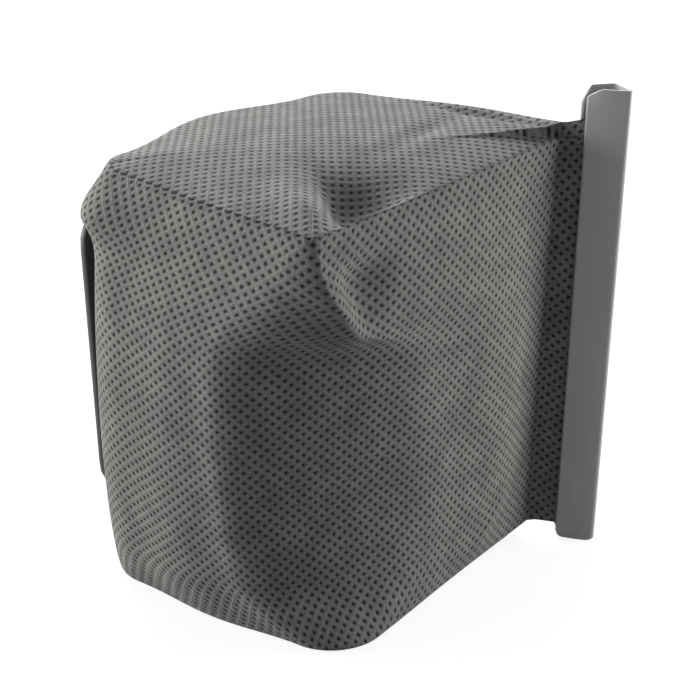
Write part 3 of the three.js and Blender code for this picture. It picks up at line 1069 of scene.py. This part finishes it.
def thread_material():
    material, nodes, links, shader = new_material("seam_thread")
    do = NodeMaths(nodes, links)
    twist = do.noise(900, 2, stretch=(1, 1, 3))
    tone = do.colour(twist, (0.008, 0.009, 0.008, 1), (0.03, 0.031, 0.029, 1))
    links.new(tone, shader.inputs["Base Color"])
    links.new(do.bump(twist, 0.00006), shader.inputs["Normal"])
    shader.inputs["Roughness"].default_value = 0.7
    return material


def rail_material():
    """Extruded plastic: satin, with faint streaks along its length and a few light specks."""
    material, nodes, links, shader = new_material("extruded_plastic")
    do = NodeMaths(nodes, links)
    streak = do.noise(420, 3, stretch=(1, 1, 0.02))
    cloud = do.noise(60, 3)
    speck = do.ramp(do.noise(260, 0), 0.77, 0.80)
    grain = do.noise(2600, 2)
    tone = do.colour(streak, (0.40, 0.405, 0.40, 1), (0.48, 0.485, 0.48, 1))
    tone = do.colour(do.ramp(cloud, 0.35, 0.65, 0.0, 0.18), tone, (0.34, 0.345, 0.34, 1))
    tone = do.colour(do.math("MULTIPLY", speck, 0.35), tone, (0.55, 0.55, 0.54, 1))
    links.new(tone, shader.inputs["Base Color"])
    links.new(do.ramp(streak, 0.3, 0.7, 0.36, 0.46), shader.inputs["Roughness"])
    normal = do.bump(streak, 0.00003, 0.5)
    links.new(do.bump(grain, 0.00001, 0.5, normal), shader.inputs["Normal"])
    shader.inputs["Specular IOR Level"].default_value = 0.45
    return material


def collar_material():
    """Moulded plastic with a fine matt grain and a black that varies a little in soft clouds."""
    material, nodes, links, shader = new_material("moulded_black_plastic")
    do = NodeMaths(nodes, links)
    grain = do.noise(1700, 3)
    cloud = do.noise(70, 4)
    tone = do.colour(cloud, (0.008, 0.008, 0.008, 1), (0.017, 0.017, 0.016, 1))
    links.new(tone, shader.inputs["Base Color"])
    links.new(do.ramp(grain, 0.3, 0.7, 0.5, 0.62), shader.inputs["Roughness"])
    links.new(do.bump(grain, 0.00003, 0.6), shader.inputs["Normal"])
    return material


def rubber_material():
    material, nodes, links, shader = new_material("seal_rubber")
    do = NodeMaths(nodes, links)
    dust = do.noise(500, 4)
    dusty = do.ramp(dust, 0.45, 0.75, 0.0, 0.5)
    tone = do.colour(dusty, (0.016, 0.016, 0.017, 1), (0.05, 0.05, 0.05, 1))
    links.new(tone, shader.inputs["Base Color"])
    links.new(do.bump(dust, 0.00003, 0.6), shader.inputs["Normal"])
    shader.inputs["Roughness"].default_value = 0.8
    return material


def make_camera():
    """Camera at the photograph's angle: it looks at the bag's corner from above."""
    level, rise = math.cos(CAMERA_PITCH), math.sin(CAMERA_PITCH)
    away = Vector((-math.sin(CAMERA_HEADING) * level, -math.cos(CAMERA_HEADING) * level, rise))
    camera = bpy.data.objects.new("camera", bpy.data.cameras.new("camera"))
    camera.data.sensor_width = CAMERA_SENSOR
    camera.data.lens = CAMERA_LENS
    camera.data.clip_start = 0.01
    camera.location = Vector((np.array(CAMERA_TARGET) + ORIGIN) * MM) + away * CAMERA_DISTANCE
    camera.rotation_euler = (-away).to_track_quat("-Z", "Y").to_euler()
    bpy.context.scene.collection.objects.link(camera)
    bpy.context.scene.camera = camera


def area_light(name, place, size, power):
    lamp = bpy.data.lights.new(name, "AREA")
    lamp.shape = "RECTANGLE"
    lamp.size, lamp.size_y = size
    lamp.energy = power
    light = bpy.data.objects.new(name, lamp)
    light.location = place
    light.rotation_euler = (Vector(LAMP_AIM) - Vector(place)).to_track_quat("-Z", "Y").to_euler()
    bpy.context.scene.collection.objects.link(light)


def make_world():
    """Even fill light, which the camera sees as white."""
    world = bpy.data.worlds.new("studio")
    bpy.context.scene.world = world
    world.use_nodes = True
    nodes, links = world.node_tree.nodes, world.node_tree.links
    nodes.clear()
    seen = nodes.new("ShaderNodeLightPath")
    pick = nodes.new("ShaderNodeMath")
    pick.operation = "MAXIMUM"
    links.new(seen.outputs["Is Camera Ray"], pick.inputs[0])
    links.new(seen.outputs["Is Transmission Ray"], pick.inputs[1])
    fill = nodes.new("ShaderNodeBackground")
    fill.inputs["Color"].default_value = (1, 1, 1, 1)
    fill.inputs["Strength"].default_value = WORLD_FILL
    white = nodes.new("ShaderNodeBackground")
    white.inputs["Color"].default_value = (1, 1, 1, 1)
    white.inputs["Strength"].default_value = 1.0
    mix = nodes.new("ShaderNodeMixShader")
    out = nodes.new("ShaderNodeOutputWorld")
    links.new(pick.outputs["Value"], mix.inputs["Fac"])
    links.new(fill.outputs["Background"], mix.inputs[1])
    links.new(white.outputs["Background"], mix.inputs[2])
    links.new(mix.outputs["Shader"], out.inputs["Surface"])


def make_lamps():
    right = Vector((math.cos(CAMERA_HEADING), -math.sin(CAMERA_HEADING), 0))
    back = Vector((math.sin(CAMERA_HEADING), math.cos(CAMERA_HEADING), 0))
    for name, (to_right, to_back, height, size, power) in LAMPS.items():
        area_light(name, right * to_right + back * to_back + Vector((0, 0, height)), size, power)


def make_floor():
    """White floor that keeps the bag's shadow; off camera it is a plain grey."""
    bpy.ops.mesh.primitive_plane_add(size=6, location=(0, 0, 0))
    floor = bpy.context.object
    floor.name = "floor"
    material = bpy.data.materials.new("white_floor")
    material.use_nodes = True
    nodes, links = material.node_tree.nodes, material.node_tree.links
    nodes.clear()
    shade = nodes.new("ShaderNodeBsdfDiffuse")
    shade.inputs["Color"].default_value = (FLOOR_SHADE, FLOOR_SHADE, FLOOR_SHADE, 1)
    glow = nodes.new("ShaderNodeEmission")
    glow.inputs["Strength"].default_value = FLOOR_GLOW
    white = nodes.new("ShaderNodeAddShader")
    links.new(shade.outputs["BSDF"], white.inputs[0])
    links.new(glow.outputs["Emission"], white.inputs[1])
    plain = nodes.new("ShaderNodeBsdfDiffuse")
    plain.inputs["Color"].default_value = (FLOOR_GREY, FLOOR_GREY, FLOOR_GREY, 1)
    seen = nodes.new("ShaderNodeLightPath")
    pick = nodes.new("ShaderNodeMath")
    pick.operation = "MAXIMUM"
    links.new(seen.outputs["Is Camera Ray"], pick.inputs[0])
    links.new(seen.outputs["Is Glossy Ray"], pick.inputs[1])
    switch = nodes.new("ShaderNodeMixShader")
    links.new(pick.outputs["Value"], switch.inputs["Fac"])
    links.new(plain.outputs["BSDF"], switch.inputs[1])
    links.new(white.outputs["Shader"], switch.inputs[2])
    out = nodes.new("ShaderNodeOutputMaterial")
    links.new(switch.outputs["Shader"], out.inputs["Surface"])
    floor.data.materials.append(material)


bpy.context.scene.view_settings.view_transform = "Standard"
make_camera()
make_bag(fabric_material())
make_thread(thread_material())
make_rail(rail_material())
plastic = collar_material()
make_collar(plastic)
make_seal(rubber_material())
make_backing_ring(plastic)
make_world()
make_lamps()
make_floor()
